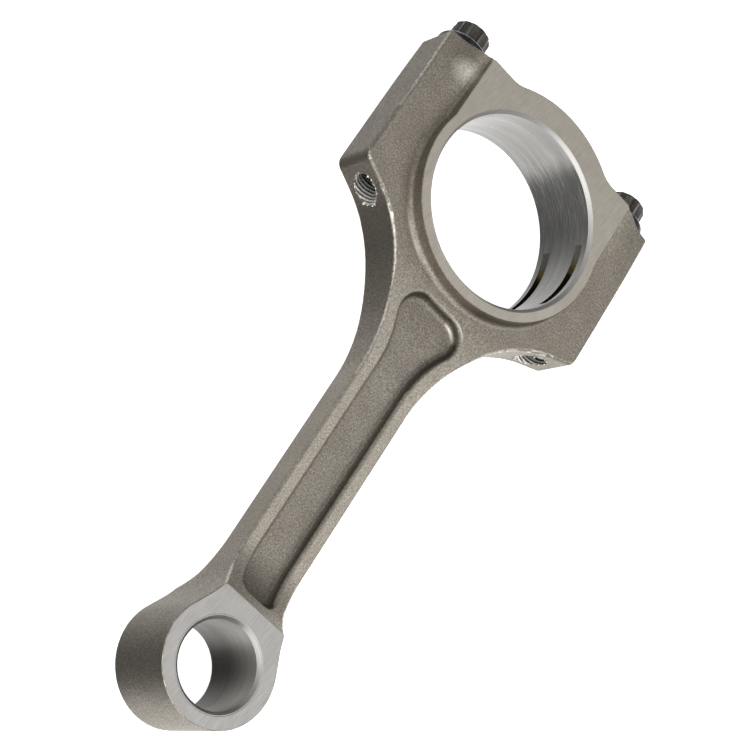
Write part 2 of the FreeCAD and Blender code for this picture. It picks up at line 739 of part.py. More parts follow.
def face_corner_tool():
    """What is milled off the thrust face's corner beside the bolt head to round it."""
    radius = size("cap_face_corner")
    x = size("seat_plane") - radius
    y = size("cap_face_half") - radius
    level = size("swell_inner")
    block = doc.addObject("Part::Box", "corner_block")
    for side in ("Length", "Width", "Height"):
        block.setExpression(side, bound("cap_face_corner * 3"))
    block.Placement = FreeCAD.Placement(V(x, y, level), FreeCAD.Rotation())
    place = FreeCAD.Placement(V(x, y, level - OVERRUN), FreeCAD.Rotation())
    post = cylinder("corner_post", "cap_face_corner", "cap_face_corner * 6", place)
    return pair_op("Cut", "corner_tool", block, post)


def bearing_cap():
    """The cracked-off cap: shoulders with the bolt seats, thrust face, crown and its half of the bore."""
    slab = extrude("cap_slab", cap_plan(), f"end_width / 2 + {STOCK}")
    shoulder = pair_op("Common", "cap_shoulder", cap_shoulder(), slab)
    crown = extrude("cap_crown", cap_face(), f"end_width / 2 + {STOCK}")
    raw = join("cap_raw", shoulder, crown)
    top = size("end_width") / 2
    beside = size("cap_face_half")

    def face_foot(edge):
        box = edge.BoundBox
        outer = box.YMin > beside - 1e-3 and box.YMax < size("ring_radius") + 1e-3
        return outer and size("beam_thick") < box.ZMin and box.ZMax < top and box.XLength > 0.1

    footed = rounded("cap_footed", raw, size("foot_fillet"), face_foot)
    trimmed = pair_op("Cut", "cap_trimmed", footed, face_corner_tool())
    machined = pair_op("Common", "cap_machined", trimmed, machining_slab("cap_machining"))
    broken = rounded("cap_broken", machined, size("edge_break"), machined_outline)
    half = mirrored("cap_upper", broken, Y_AXIS)
    whole = mirrored("cap_whole", half, Z_AXIS)
    big = bore_tool("cap_big_bore", "big_bore / 2", "big_chamfer", "end_width / 2")
    holes = bolt_holes("plain", "plain_hole", size("seat_plane") + OVERRUN, "shoulder_half")
    return finish(cut_all("cap", whole, [big, *holes, *tang_slots("cap_tang")]), "bearing_cap")


def turned(name, points):
    """A solid turned about Z from half its profile, given as (radius, height) points."""
    sketch = new_sketch(f"{name}_profile", upright=True)
    path = Outline(sketch)
    corners = [(sheet_value(r), sheet_value(h)) for r, h in points]
    for here, there in zip(corners, corners[1:] + corners[:1]):
        path.line(here, there)
    path.close()
    for index, (radius, height) in enumerate(points):
        if radius == "0":
            path.hold("PointOnObject", index, 1, -2)
        else:
            path.right_of_origin((index, 1), radius)
        path.above_origin((index, 1), height)
    solid = doc.addObject("Part::Revolution", name)
    solid.Source = sketch
    solid.Axis = Z_AXIS
    solid.Base = V(0, 0, 0)
    solid.Angle = 360
    solid.Solid = True
    return solid


def cap_bolt(side_name, side):
    """A cap bolt along its own Z, joint face at zero: shank, flange and bevelled twelve-point head."""
    name = f"bolt_{side_name}"
    shank = "bolt_thread / 2"
    tip = f"{BOLT_DATUM} - bolt_reach"
    seat = f"{BOLT_DATUM} + seat_plane"
    stem = turned(f"{name}_stem", [
        ("0", tip),
        (f"{shank} - tip_bevel", tip),
        (shank, f"{tip} + tip_bevel"),
        (shank, seat),
        ("flange_radius", seat),
        ("flange_radius", f"{seat} + flange_thick"),
        ("head_flats / 2", f"{seat} + flange_thick + flange_cone"),
        ("0", f"{seat} + flange_thick + flange_cone"),
    ])
    stem.Placement = FreeCAD.Placement(V(0, 0, -BOLT_DATUM), FreeCAD.Rotation())
    hexagons = []
    for number in range(2):
        prism = doc.addObject("Part::Prism", f"{name}_hexagon_{number}")
        prism.Polygon = 6
        prism.setExpression("Circumradius", bound("head_flats / 2 / cos(30deg)"))
        prism.setExpression("Height", bound("head_height"))
        turn = FreeCAD.Rotation(Z_AXIS, number * 30)
        prism.Placement = FreeCAD.Placement(V(0, 0, size("seat_plane")), turn)
        hexagons.append(prism)
    star = join(f"{name}_star", *hexagons)
    envelope = turned(f"{name}_envelope", [
        ("0", "seat_plane"),
        ("head_points / 2", "seat_plane"),
        ("head_points / 2", "seat_plane + head_height - head_bevel"),
        ("head_points / 2 - head_bevel", "seat_plane + head_height"),
        ("head_dish", "seat_plane + head_height"),
        ("head_dish - dish_depth", "seat_plane + head_height - dish_depth"),
        ("0", "seat_plane + head_height - dish_depth"),
    ])
    head = pair_op("Common", f"{name}_head", star, envelope)
    bolt = join(name, stem, head)
    # The bolt's own Z turns to +X, and it moves out to its hole.
    bolt.Placement = FreeCAD.Placement(V(0, 0, 0), FreeCAD.Rotation(Y_AXIS, 90))
    bolt.setExpression("Placement.Base.y", bound(f"{side} * bolt_half_pitch"))
    return finish(bolt, f"cap_bolt_{side_name}")


def small_end_bush():
    """The pressed-in bush that carries the piston pin."""
    body = doc.addObject("PartDesign::Body", "bush")
    plane = next(f for f in body.Origin.OriginFeatures if f.Role == "XY_Plane")
    sketch = body.newObject("Sketcher::SketchObject", "bush_section")
    sketch.AttachmentSupport = [(plane, "")]
    sketch.MapMode = "FlatFace"
    for formula in ("bush_outer / 2", "pin_bore / 2"):
        radius = sheet_value(formula)
        ring = sketch.addGeometry(Part.Circle(V(0, 0), Z_AXIS, radius), False)
        sketch.addConstraint(Sketcher.Constraint("Coincident", ring, 3, -1, 1))
        number = sketch.addConstraint(Sketcher.Constraint("Radius", ring, radius))
        sketch.setExpression(f"Constraints[{number}]", bound(formula))
    pad = body.newObject("PartDesign::Pad", "bush_wall")
    pad.Profile = sketch
    pad.Midplane = True
    pad.setExpression("Length", bound("end_width - 2 * bush_recess"))
    body.Tip = pad
    doc.recompute()
    mouths = [
        f"Edge{number}"
        for number, edge in enumerate(pad.Shape.Edges, start=1)
        if isinstance(edge.Curve, Part.Circle) and edge.Curve.Radius < size("bush_outer") / 2 - 1e-6
    ]
    bevel = body.newObject("PartDesign::Chamfer", "bush_mouths")
    bevel.Base = (pad, mouths)
    bevel.setExpression("Size", bound("bush_chamfer"))
    body.Tip = bevel
    body.setExpression("Placement.Base.x", bound("-centre_distance"))
    return finish(body, "small_end_bush")


pieces = [
    rod_body(),
    bearing_cap(),
    cap_bolt("left", 1),
    cap_bolt("right", -1),
    small_end_bush(),
]
doc.recompute()

for thing in doc.Objects:
    if {"Invalid", "Error"} & set(thing.State):
        raise RuntimeError(f"{thing.Name}: {thing.State}")
for piece in pieces:
    if piece.Shape.isNull() or not piece.Shape.isValid():
        raise RuntimeError(f"{piece.Label}: bad shape")
    if len(piece.Shape.Solids) != 1:
        raise RuntimeError(f"{piece.Label}: {len(piece.Shape.Solids)} solids")

os.makedirs("parts", exist_ok=True)
for piece in pieces:
    piece.Shape.exportStep(f"parts/{piece.Label}.step")
    print(piece.Label, round(piece.Shape.Volume, 1), piece.Shape.BoundBox)
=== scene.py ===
import math

import bmesh
import bpy
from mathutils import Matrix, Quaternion, Vector


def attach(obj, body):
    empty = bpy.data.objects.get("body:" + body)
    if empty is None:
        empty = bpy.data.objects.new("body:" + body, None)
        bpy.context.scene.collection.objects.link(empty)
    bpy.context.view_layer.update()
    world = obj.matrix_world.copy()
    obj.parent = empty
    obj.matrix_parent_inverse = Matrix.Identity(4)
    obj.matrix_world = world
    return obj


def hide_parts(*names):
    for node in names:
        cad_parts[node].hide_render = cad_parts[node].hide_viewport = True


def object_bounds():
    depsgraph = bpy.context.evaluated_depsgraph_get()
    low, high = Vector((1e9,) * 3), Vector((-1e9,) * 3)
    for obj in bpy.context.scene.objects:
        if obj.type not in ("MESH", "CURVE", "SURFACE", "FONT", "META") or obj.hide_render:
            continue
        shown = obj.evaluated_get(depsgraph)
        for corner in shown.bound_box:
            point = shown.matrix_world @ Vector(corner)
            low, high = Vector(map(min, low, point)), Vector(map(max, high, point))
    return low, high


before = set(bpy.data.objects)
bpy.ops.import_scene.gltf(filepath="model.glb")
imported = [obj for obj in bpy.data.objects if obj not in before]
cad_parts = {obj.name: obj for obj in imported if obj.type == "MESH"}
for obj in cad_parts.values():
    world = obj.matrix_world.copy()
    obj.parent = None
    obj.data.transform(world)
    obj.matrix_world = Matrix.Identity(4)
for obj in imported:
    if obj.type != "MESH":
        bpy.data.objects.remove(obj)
cad_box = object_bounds()

# One millimetre in the scene's metres.
MM = 0.001

# Camera: close to the photograph's viewpoint, rolled so that the rod rises from lower left to upper right.
CAMERA_PLACE = Vector((-0.3179, 0.2150, 0.4728))
CAMERA_AIM = Vector((-0.0562, 0.0023, 0.0))
CAMERA_ROLL = 78.23
CAMERA_LENS = 112.9

# The rod, in millimetres, as the CAD has it. Bores and holes are given by their radius. The origin is the
# big end's centre; X runs along the rod, away from the small end, and Z through its thickness.
BIG_BORE = 25.3
BIG_CHAMFER = 0.9
SMALL_CENTRE = -144.0
SMALL_BORE = 11.5
FACE = 11.0
SEAT = 28.0
BOLT_OFFSET = 32.3
HOLE_RADIUS = 4.05
PLAIN_HOLE_RADIUS = 4.2
TANG_RADIUS = 15.0
TANG_CENTRE = -12.26
TANG_INNER = 5.25
TANG_OUTER = 8.15
# The sloping underside of a shoulder: where it crosses the bolt axis, and its angle from the rod axis.
UNDERSIDE_X = -20.53
UNDERSIDE_SLOPE = 64.0
# The beam's face where it is thinnest, and the pocket in it.
BEAM_FACE = 4.75
POCKET_START = 33.0
POCKET_END = 125.0
POCKET_HALF = 5.3
POCKET_FLARE_START = 56.0
POCKET_FLARE = math.tan(math.radians(25))
# Faces that bend outwards more than this, per millimetre, get a painted highlight, outside the reach of the
# step round the thrust faces.
HIGHLIGHT_BEND = 0.75
STEP_REACH = 33.0
# A face counts as flat when its normal is this close to the axis, and as in place within this distance.
FLAT = 0.999
CLOSE = 0.01

# The M8 fine thread, one start and right hand: the bolt's crest and root, the ridge in the rod, and half
# the width of the flats between their flanks.
PITCH = 1.0
THREAD_CREST = 3.95
THREAD_ROOT = 3.38
RIDGE_CREST = 3.5
FLANK = math.tan(math.radians(30))
ROOT_FLAT = 0.12
RIDGE_FLAT = 0.06


# ---------------------------------------------------------------- materials


class Shade:
    """A node material in the making. Each call adds a node and gives back its output."""

    def __init__(self, name, metallic=0.0, roughness=0.5):
        self.material = bpy.data.materials.new(name)
        self.material.use_nodes = True
        self.tree = self.material.node_tree
        self.shader = self.tree.nodes["Principled BSDF"]
        self.shader.inputs["Metallic"].default_value = metallic
        self.shader.inputs["Roughness"].default_value = roughness

    def add(self, kind, out, settings=None, **sockets):
        """A node with its sockets fed by name, or by number as i0, i1 and so on; gives back one output."""
        node = self.tree.nodes.new(kind)
        for key, value in (settings or {}).items():
            setattr(node, key, value)
        for key, value in sockets.items():
            name = key.replace("_", " ") if not key.startswith("i") else int(key[1:])
            self.feed(node.inputs[name], value)
        return node.outputs[out]

    def feed(self, socket, value):
        """Link a node's output to a socket, or set the socket to a plain value."""
        if isinstance(value, bpy.types.NodeSocket):
            self.tree.links.new(value, socket)
        else:
            socket.default_value = value

    def place(self, scale=(1, 1, 1), turn=0.0):
        """The point on the object in millimetres, turned about Z, then stretched."""
        raw = self.add("ShaderNodeTexCoord", "Object")
        turned = self.add("ShaderNodeMapping", "Vector", i0=raw, Rotation=(0, 0, math.radians(turn)))
        size = tuple(s / MM for s in scale)
        return self.add("ShaderNodeMapping", "Vector", i0=turned, Scale=size)

    def noise(self, where, scale, detail=2.0, rough=0.5):
        """Soft noise from 0 to 1, with scale waves to the millimetre."""
        sockets = {"Vector": where, "Scale": scale, "Detail": detail, "Roughness": rough}
        return self.add("ShaderNodeTexNoise", "Fac", **sockets)

    def part(self, where, axis):
        """One coordinate of a point."""
        return self.add("ShaderNodeSeparateXYZ", axis, Vector=where)

    def far(self, where, spot):
        """How far a point is from a spot."""
        return self.add("ShaderNodeVectorMath", "Value", {"operation": "DISTANCE"}, i0=where, i1=spot)

    def cells(self, where, scale):
        """How far the nearest of many scattered points is, for dimples and grains."""
        return self.add("ShaderNodeTexVoronoi", "Distance", Vector=where, Scale=scale)

    def math(self, operation, a, b=0.0):
        """One sum on plain values or outputs."""
        return self.add("ShaderNodeMath", "Value", {"operation": operation}, i0=a, i1=b)

    def stretch(self, value, low, high, to_low=0.0, to_high=1.0):
        """The value moved from one range to another, and kept inside it."""
        return self.add(
            "ShaderNodeMapRange", "Result",
            Value=value, From_Min=low, From_Max=high, To_Min=to_low, To_Max=to_high,
        )

    def ramp(self, value, *stops):
        """A colour that runs through the stops, each a place from 0 to 1 and a colour."""
        node = self.tree.nodes.new("ShaderNodeValToRGB")
        points = node.color_ramp.elements
        while len(points) < len(stops):
            points.new(0.5)
        for point, (at, colour) in zip(points, stops):
            point.position = at
            point.color = (*colour, 1)
        self.feed(node.inputs["Fac"], value)
        return node.outputs["Color"]

    def blend(self, share, a, b, mode="MIX"):
        """Colour a, with b mixed in or multiplied over it by a share."""
        node = self.tree.nodes.new("ShaderNodeMix")
        node.data_type = "RGBA"
        node.blend_type = mode
        self.feed(node.inputs["Factor"], share)
        for socket, value in ((node.inputs[6], a), (node.inputs[7], b)):
            self.feed(socket, value if isinstance(value, bpy.types.NodeSocket) else (*value, 1))
        return node.outputs[2]

    def bump(self, height, depth_mm, strength=1.0, under=None):
        """A surface raised by a height from 0 to 1, on top of another bump if one is given."""
        sockets = {"Height": height, "Distance": depth_mm * MM, "Strength": strength}
        if under is not None:
            sockets["Normal"] = under
        return self.add("ShaderNodeBump", "Normal", **sockets)

    def done(self, colour=None, roughness=None, normal=None):
        """Feed the surface and give back the finished material."""
        for name, value in (("Base Color", colour), ("Roughness", roughness), ("Normal", normal)):
            if value is not None:
                self.feed(self.shader.inputs[name], value)
        return self.material


FORGED_COLOURS = ((0.0, (0.285, 0.256, 0.215)), (0.5, (0.380, 0.346, 0.295)), (1.0, (0.50, 0.462, 0.402)))
# Painted light along the rod, from the small end (0) to the big end's centre (1): lightest along the beam.
LIGHT_ALONG_ROD = (
    (0.06, (0.90, 0.90, 0.90)), (0.17, (1.20, 1.20, 1.20)),
    (0.58, (1.26, 1.26, 1.26)), (0.80, (0.83, 0.82, 0.81)),
)
# Where a painted highlight lies on the swelling beside the left bolt, and from where to where the patch
# fades.
SWELL_HIGHLIGHT_AT = (20.9, 31.5, 0.0)
SWELL_HIGHLIGHT_FADES = (0.8, 4.2)
# The colour of the painted highlights.
HIGHLIGHT_COLOUR = (0.74, 0.71, 0.62)
# The colour of the painted shadow at the foot of the step round the thrust face.
FOOT_SHADOW_COLOUR = (0.09, 0.078, 0.062)
# Curved lines of painted highlight and painted shadow, lighter or darker than the forging round them, each on
# a circle about "centre".
# "strengths" runs between the two distances in "from_centre"; "middle" and "fades" say how far it lasts.
PAINTED_LIGHT_LINES = (
    {   # The pocket's corner nearest the right bolt: a painted highlight in two lines that follow its round.
        "middle": (-34.6, -7.2, 0.0), "fades": (1.5, 3.4),
        "centre": (-39.6, -3.9, 0.0), "from_centre": (5.0, 8.0),
        "strengths": ((0.08, 0.0), (0.22, 0.8), (0.38, 0.05), (0.58, 0.05), (0.72, 0.8), (0.88, 0.0)),
        "colour": HIGHLIGHT_COLOUR,
    },
    {   # The hollow outside the thrust face: a painted highlight on the left.
        "middle": (-24.5, 17.4, 0.0), "fades": (3.0, 9.0),
        "centre": (0.0, 0.0, 0.0), "from_centre": (29.3, 31.1),
        "strengths": ((0.1, 0.0), (0.5, 0.85), (0.9, 0.0)),
        "colour": HIGHLIGHT_COLOUR,
    },
    {   # The foot of the step round the thrust face: painted shadow on the right.
        "middle": (-20.0, -21.0, 0.0), "fades": (14.0, 22.0),
        "centre": (0.0, 0.0, 0.0), "from_centre": (28.2, 30.3),
        "strengths": ((0.05, 0.85), (0.4, 0.75), (0.8, 0.0)),
        "colour": FOOT_SHADOW_COLOUR,
    },
)


def forged_steel(name="forged_steel", bright=1.0):
    """Shot-peened forging: small dimples all over, warm grey scale with lighter flecks, painted light and
    shade.
    """
    shade = Shade(name, metallic=0.85)
    where = shade.place()
    dimples = shade.cells(where, 1.7)
    grain = shade.noise(where, 2.3, 3.0, 0.65)
    mottle = shade.noise(where, 0.16, 3.0, 0.55)
    flecks = shade.stretch(grain, 0.38, 0.64)
    warm = shade.ramp(flecks, *((at, tuple(c * bright for c in colour)) for at, colour in FORGED_COLOURS))
    tint = shade.ramp(mottle, (0.3, (0.88, 0.87, 0.86)), (0.7, (1.0, 1.0, 1.0)))
    scaled = shade.blend(1.0, warm, tint, "MULTIPLY")
    # Painted light: the forging made lighter along the beam, darker towards both ends.
    along = shade.stretch(shade.part(where, "X"), SMALL_CENTRE, 0.0)
    graded = shade.blend(1.0, scaled, shade.ramp(along, *LIGHT_ALONG_ROD), "MULTIPLY")
    in_plan = shade.place((1, 1, 0))
    # A painted highlight on the swelling beside the left bolt.
    patch = shade.stretch(shade.far(in_plan, SWELL_HIGHLIGHT_AT), *SWELL_HIGHLIGHT_FADES, 1.0, 0.0)
    painted_highlight = shade.math("MULTIPLY", patch, shade.stretch(grain, 0.3, 0.6, 0.35, 1.0))
    colour = shade.blend(painted_highlight, graded, HIGHLIGHT_COLOUR)
    # Lines of painted highlight and painted shadow.
    for line in PAINTED_LIGHT_LINES:
        close = shade.stretch(shade.far(in_plan, line["middle"]), *line["fades"], 1.0, 0.0)
        across = shade.stretch(shade.far(in_plan, line["centre"]), *line["from_centre"])
        strength = shade.ramp(across, *((at, (value,) * 3) for at, value in line["strengths"]))
        colour = shade.blend(shade.math("MULTIPLY", close, strength), colour, line["colour"])
    rough = shade.stretch(grain, 0.3, 0.7, 0.56, 0.42)
    fine = shade.bump(grain, 0.04, 0.8)
    pitted = shade.bump(dimples, 0.06, 0.8, fine)
    return shade.done(colour, rough, pitted)


def sheen_edge_steel():
    """Outer edges of the forging, with a painted highlight."""
    shade = Shade("worn_edge", metallic=0.92)
    grain = shade.noise(shade.place(), 2.0, 3.0, 0.6)
    colour = shade.ramp(grain, (0.35, (0.50, 0.465, 0.405)), (0.65, (0.80, 0.765, 0.69)))
    rough = shade.stretch(grain, 0.35, 0.65, 0.46, 0.34)
    return shade.done(colour, rough, shade.bump(grain, 0.02, 0.6))


def ground_steel(name, colours, turn, roughness):
    """A ground face: fine parallel scratches over a smooth, slightly clouded surface."""
    shade = Shade(name, metallic=0.9)
    along = shade.place((0.16, 5.0, 1.0), turn)
    lines = shade.noise(along, 1.0, 4.0, 0.6)
    clouds = shade.noise(shade.place(), 0.22, 3.0, 0.6)
    specks = shade.noise(shade.place(), 3.0, 2.0, 0.5)
    low, high = colours
    base = shade.ramp(lines, (0.32, low), (0.68, high))
    tint = shade.ramp(clouds, (0.3, (0.9, 0.89, 0.88)), (0.7, (1.0, 1.0, 1.0)))
    colour = shade.blend(1.0, base, tint, "MULTIPLY")
    rough = shade.stretch(lines, 0.3, 0.7, roughness + 0.08, roughness - 0.06)
    speckled = shade.bump(specks, 0.012, 0.6)
    normal = shade.bump(lines, 0.02, 0.7, speckled)
    return shade.done(colour, rough, normal)


# The scored stretch of the big bore, on the cap's right: its middle, and from where to where it fades.
SCORED_AT = (21.0, -14.0, 0.0)
SCORED_FADES = (6.0, 16.0)
SCORED_COLOUR = (0.86, 0.84, 0.80)


def bored_steel(name, colours, roughness, streak, metallic=0.95, painted_front_light=1.0, scored=0.0):
    """A honed bore: fine lines run round the wall. Its front may get painted light, and its cap side scored.
    """
    shade = Shade(name, metallic=metallic)
    around = shade.place((0.05, 0.05, 4.5))
    lines = shade.noise(around, 1.0, 4.0, 0.65)
    broad = shade.noise(shade.place((0.03, 0.03, 0.6)), 1.0, 2.0, 0.5)
    both = shade.math("ADD", shade.math("MULTIPLY", lines, 0.7), shade.math("MULTIPLY", broad, 0.3))
    low, high = colours
    colour = shade.ramp(both, (0.35, low), (0.65, high))
    # Painted light: the bore lighter towards its front face, darker deeper in.
    if painted_front_light > 1.0:
        depth = shade.stretch(shade.part(shade.place(), "Z"), -2.0, FACE, 0.75, painted_front_light)
        colour = shade.blend(1.0, colour, depth, "MULTIPLY")
    if scored > 0.0:
        strokes = shade.noise(shade.place((0.16, 0.16, 3.2)), 1.0, 3.0, 0.6)
        patch = shade.stretch(shade.far(shade.place((1, 1, 0)), SCORED_AT), *SCORED_FADES, scored, 0.0)
        scratches = shade.math("MULTIPLY", patch, shade.stretch(strokes, 0.5, 0.66))
        colour = shade.blend(scratches, colour, SCORED_COLOUR)
    rough = shade.stretch(both, 0.3, 0.7, roughness + 0.06, roughness - 0.05)
    return shade.done(colour, rough, shade.bump(lines, 0.012, streak))


# How far the tang slots reach into the cap, and where their painted shadow is darkest in the rod.
SLOT_REACH = 10.4
SLOT_SHADOW_DARKEST = -4.0


def slot_steel():
    """The tang slots: bright where the cutter runs out in the cap, brown with old oil, black painted shadow
    in the rod.
    """
    shade = Shade("tang_slot", metallic=0.6, roughness=0.42)
    where = shade.place()
    clouds = shade.noise(where, 0.7, 3.0, 0.6)
    shallow = shade.stretch(shade.part(where, "X"), SLOT_SHADOW_DARKEST, SLOT_REACH)
    share = shade.math("ADD", shallow, shade.math("MULTIPLY", shade.math("SUBTRACT", clouds, 0.5), 0.5))
    # Black is painted shadow on the slot floor; brown and olive are old oil.
    black, brown = (0.024, 0.017, 0.007), (0.075, 0.053, 0.019)
    olive, bare = (0.26, 0.215, 0.095), (0.25, 0.24, 0.222)
    colour = shade.ramp(share, (0.32, black), (0.5, brown), (0.66, olive), (0.78, bare))
    return shade.done(colour, None, shade.bump(clouds, 0.02, 0.5))


def fracture_steel():
    """The cracked joint face: coarse bright grains."""
    shade = Shade("fracture_face", metallic=0.9)
    where = shade.place()
    grains = shade.cells(where, 1.3)
    grain = shade.noise(where, 1.8, 4.0, 0.7)
    colour = shade.ramp(grain, (0.3, (0.16, 0.155, 0.15)), (0.7, (0.5, 0.49, 0.47)))
    rough = shade.stretch(grain, 0.3, 0.7, 0.6, 0.35)
    return shade.done(colour, rough, shade.bump(grains, 0.2, 0.9, shade.bump(grain, 0.15, 0.8)))


def phosphated_steel(name, colours, roughness):
    """Black phosphate with an oil film, streaked along the bolt."""
    shade = Shade(name, metallic=0.6)
    where = shade.place()
    grain = shade.noise(where, 3.5, 3.0, 0.6)
    streaks = shade.noise(shade.place((0.12, 1.6, 1.6)), 1.0, 3.0, 0.6)
    low, high = colours
    both = shade.math("ADD", shade.math("MULTIPLY", grain, 0.35), shade.math("MULTIPLY", streaks, 0.65))
    colour = shade.ramp(both, (0.38, low), (0.62, high))
    rough = shade.stretch(streaks, 0.3, 0.7, roughness + 0.08, roughness - 0.06)
    return shade.done(colour, rough, shade.bump(grain, 0.012, 0.6))


def thread_steel():
    """Freshly tapped thread: bright crests at the mouth, painted shade in the roots, oil and painted shade
    further in.
    """
    shade = Shade("tapped_thread", metallic=0.45, roughness=0.34)
    where = shade.place()
    streaks = shade.noise(where, 1.6, 3.0, 0.6)
    end_on = shade.add("ShaderNodeVectorMath", "Vector", {"operation": "ABSOLUTE"}, i0=shade.place((0, 1, 1)))
    radius = shade.far(end_on, (0.0, BOLT_OFFSET, 0.0))
    # Painted shade in the thread's roots; further into the hole, darker with oil and painted shade.
    root = shade.stretch(radius, RIDGE_CREST + 0.22, HOLE_RADIUS, 1.0, 0.14)
    mouth = shade.stretch(shade.part(where, "X"), UNDERSIDE_X - 0.5, UNDERSIDE_X + 5.0, 1.0, 0.03)
    metal = shade.ramp(streaks, (0.3, (0.74, 0.71, 0.63)), (0.65, (1.0, 0.98, 0.93)))
    colour = shade.blend(1.0, metal, shade.math("MULTIPLY", root, mouth), "MULTIPLY")
    return shade.done(colour, None, shade.bump(streaks, 0.02, 0.4))


def burr_steel():
    """The torn rim of a tapped hole: bright raw metal."""
    shade = Shade("rim_burr", metallic=1.0, roughness=0.3)
    grain = shade.noise(shade.place(), 2.2, 2.0, 0.6)
    return shade.done(shade.ramp(grain, (0.35, (0.35, 0.33, 0.29)), (0.6, (0.97, 0.95, 0.90))))


# ---------------------------------------------------------------- CAD nodes


def bends(mesh):
    """How sharply the surface bends outwards at each face, per millimetre; hollows come out below zero."""
    beside = {}
    for face in mesh.polygons:
        for edge in face.edge_keys:
            beside.setdefault(edge, []).append(face)
    sharpest = [-math.inf] * len(mesh.polygons)
    for pair in beside.values():
        if len(pair) != 2:
            continue
        one, other = pair
        step = (other.center - one.center) / MM
        bend = step.dot(other.normal - one.normal) / max(step.length_squared, 1e-6)
        for face in pair:
            sharpest[face.index] = max(sharpest[face.index], bend)
    return sharpest


def paint(node, kinds, choose):
    """Give a CAD node its materials; choose names each face's kind from its centre in mm, normal and bend."""
    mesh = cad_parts[node].data
    mesh.materials.clear()
    names = list(kinds)
    for name in names:
        mesh.materials.append(kinds[name])
    for face, bend in zip(mesh.polygons, bends(mesh)):
        face.material_index = names.index(choose(face.center / MM, face.normal, bend))


def rod_surface(at, normal, bend):
    """Which finish a face of the rod or cap has."""
    across = math.hypot(at.x, at.y)
    to_pin = math.hypot(at.x - SMALL_CENTRE, at.y)
    to_bolt = math.hypot(abs(at.y) - BOLT_OFFSET, at.z)
    to_tang = math.hypot(at.x, at.y - TANG_CENTRE)
    level = abs(normal.z)
    if level > FLAT and abs(at.z) > FACE - CLOSE:
        return "pin_face" if at.x < SMALL_CENTRE / 2 else "thrust_face"
    if abs(at.x) < CLOSE and abs(normal.x) > FLAT:
        return "fracture"
    if across < BIG_BORE + BIG_CHAMFER and 0.5 < level < 0.9 and abs(at.z) > FACE - 1.5:
        return "chamfer"
    if to_pin < SMALL_BORE + 1 and abs(at.z) > FACE - 1:
        return "chamfer"
    in_slot = TANG_INNER - CLOSE < abs(at.z) < TANG_OUTER + CLOSE
    if in_slot and across > BIG_BORE + 2 * CLOSE and to_tang < TANG_RADIUS + 5 * CLOSE:
        return "slot"
    if across < BIG_BORE + 5 * CLOSE and level < 0.2:
        return "bore"
    if to_bolt < PLAIN_HOLE_RADIUS + 2 * CLOSE and abs(normal.x) < 0.3:
        return "thread"
    if abs(at.x - SEAT) < CLOSE and normal.x > FLAT:
        return "thrust_face"
    if near_pocket(at, 1.0):
        on_beam_face = level > 0.9 and abs(at.z) > BEAM_FACE
        if on_beam_face or not near_pocket(at, 0.0):
            return "forged"
        # Pocket faces take painted shade, the wall darker than the floor.
        return "pocket" if level > 0.75 else "pocket_wall"
    # Sharply rounded outer edges get a painted highlight.
    if bend > HIGHLIGHT_BEND and 0.15 < level < 0.97 and across > STEP_REACH:
        return "worn"
    return "forged"


def near_pocket(at, margin):
    """Whether a point is over the beam's pocket or within a margin of it."""
    along = -at.x
    half_width = POCKET_HALF + max(0.0, POCKET_FLARE_START - along) * POCKET_FLARE
    return POCKET_START - margin < along < POCKET_END + margin and abs(at.y) < half_width + margin


ROD_KINDS = {
    "forged": forged_steel(),
    # The pocket's floor and wall: darker copies of the forging, as painted shade.
    "pocket": forged_steel("pocket_floor", 0.66),
    "pocket_wall": forged_steel("pocket_wall", 0.40),
    "worn": sheen_edge_steel(),
    "thrust_face": ground_steel("thrust_face", ((0.42, 0.387, 0.338), (0.54, 0.502, 0.445)), 10, 0.40),
    "pin_face": ground_steel("pin_face", ((0.39, 0.379, 0.364), (0.49, 0.477, 0.460)), 8, 0.40),
    "bore": bored_steel(
        "honed_bore", ((0.25, 0.246, 0.235), (0.45, 0.445, 0.428)), 0.29, 0.8,
        metallic=0.70, scored=0.55,
    ),
    "chamfer": bored_steel("bore_chamfer", ((0.44, 0.432, 0.414), (0.56, 0.55, 0.528)), 0.42, 0.2),
    "slot": slot_steel(),
    "thread": thread_steel(),
    "fracture": fracture_steel(),
}
BUSH_KINDS = {
    "bore": bored_steel(
        "bush_bore", ((0.225, 0.215, 0.200), (0.275, 0.264, 0.246)), 0.46, 0.25,
        metallic=0.75, painted_front_light=2.3,
    ),
    "end": ground_steel("bush_end", ((0.40, 0.39, 0.37), (0.52, 0.505, 0.48)), 0, 0.35),
    "chamfer": bored_steel("bush_chamfer", ((0.30, 0.295, 0.28), (0.46, 0.45, 0.43)), 0.36, 0.3),
}


def bush_surface(at, normal, bend):
    """Which finish a face of the bush has; its normal alone tells."""
    level = abs(normal.z)
    if level > 0.99:
        return "end"
    return "chamfer" if level > 0.3 else "bore"


# ---------------------------------------------------------------- bolts and threads


def new_piece(name, verts, faces, body, kinds, sharp=30.0, choose=None):
    """A piece from points in mm, smooth except over sharp edges; choose numbers each face's kind."""
    mesh = bpy.data.meshes.new(name)
    mesh.from_pydata([tuple(c * MM for c in v) for v in verts], [], faces)
    mesh.validate()
    mesh.update()
    for face in mesh.polygons:
        face.use_smooth = True
    mesh.set_sharp_from_angle(angle=math.radians(sharp))
    for kind in kinds:
        mesh.materials.append(kind)
    if choose:
        for face in mesh.polygons:
            face.material_index = choose(face.center / MM)
    piece = bpy.data.objects.new(name, mesh)
    bpy.context.collection.objects.link(piece)
    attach(piece, body)
    return piece


